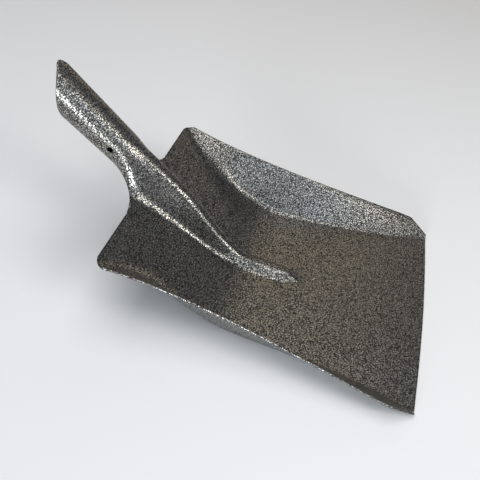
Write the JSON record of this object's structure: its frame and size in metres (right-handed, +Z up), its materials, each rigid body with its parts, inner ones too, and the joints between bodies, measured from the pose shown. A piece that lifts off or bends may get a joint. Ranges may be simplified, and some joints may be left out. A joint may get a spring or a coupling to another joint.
{
  "type": "grain scoop shovel head",
  "caption": "Pressed steel scoop shovel head with flared side walls, a raised centre frog and a rolled, welded shaft socket, in hammered-effect enamel.",
  "frame": {"origin": "on the underside of the flat floor, on the centre line, 200 mm in front of the rear edge", "axes": "+Y towards the cutting edge, +Z up out of the scoop, X across it"},
  "size_m": [0.272, 0.3812, 0.1739],
  "materials": {
    "hammered_enamel": "hammered, semi-gloss"
  },
  "bodies": {
    "root": {"scoop_blade": "hammered_enamel", "shaft_socket": "hammered_enamel", "socket_seam_weld": "hammered_enamel"}
  },
  "joints": []
}
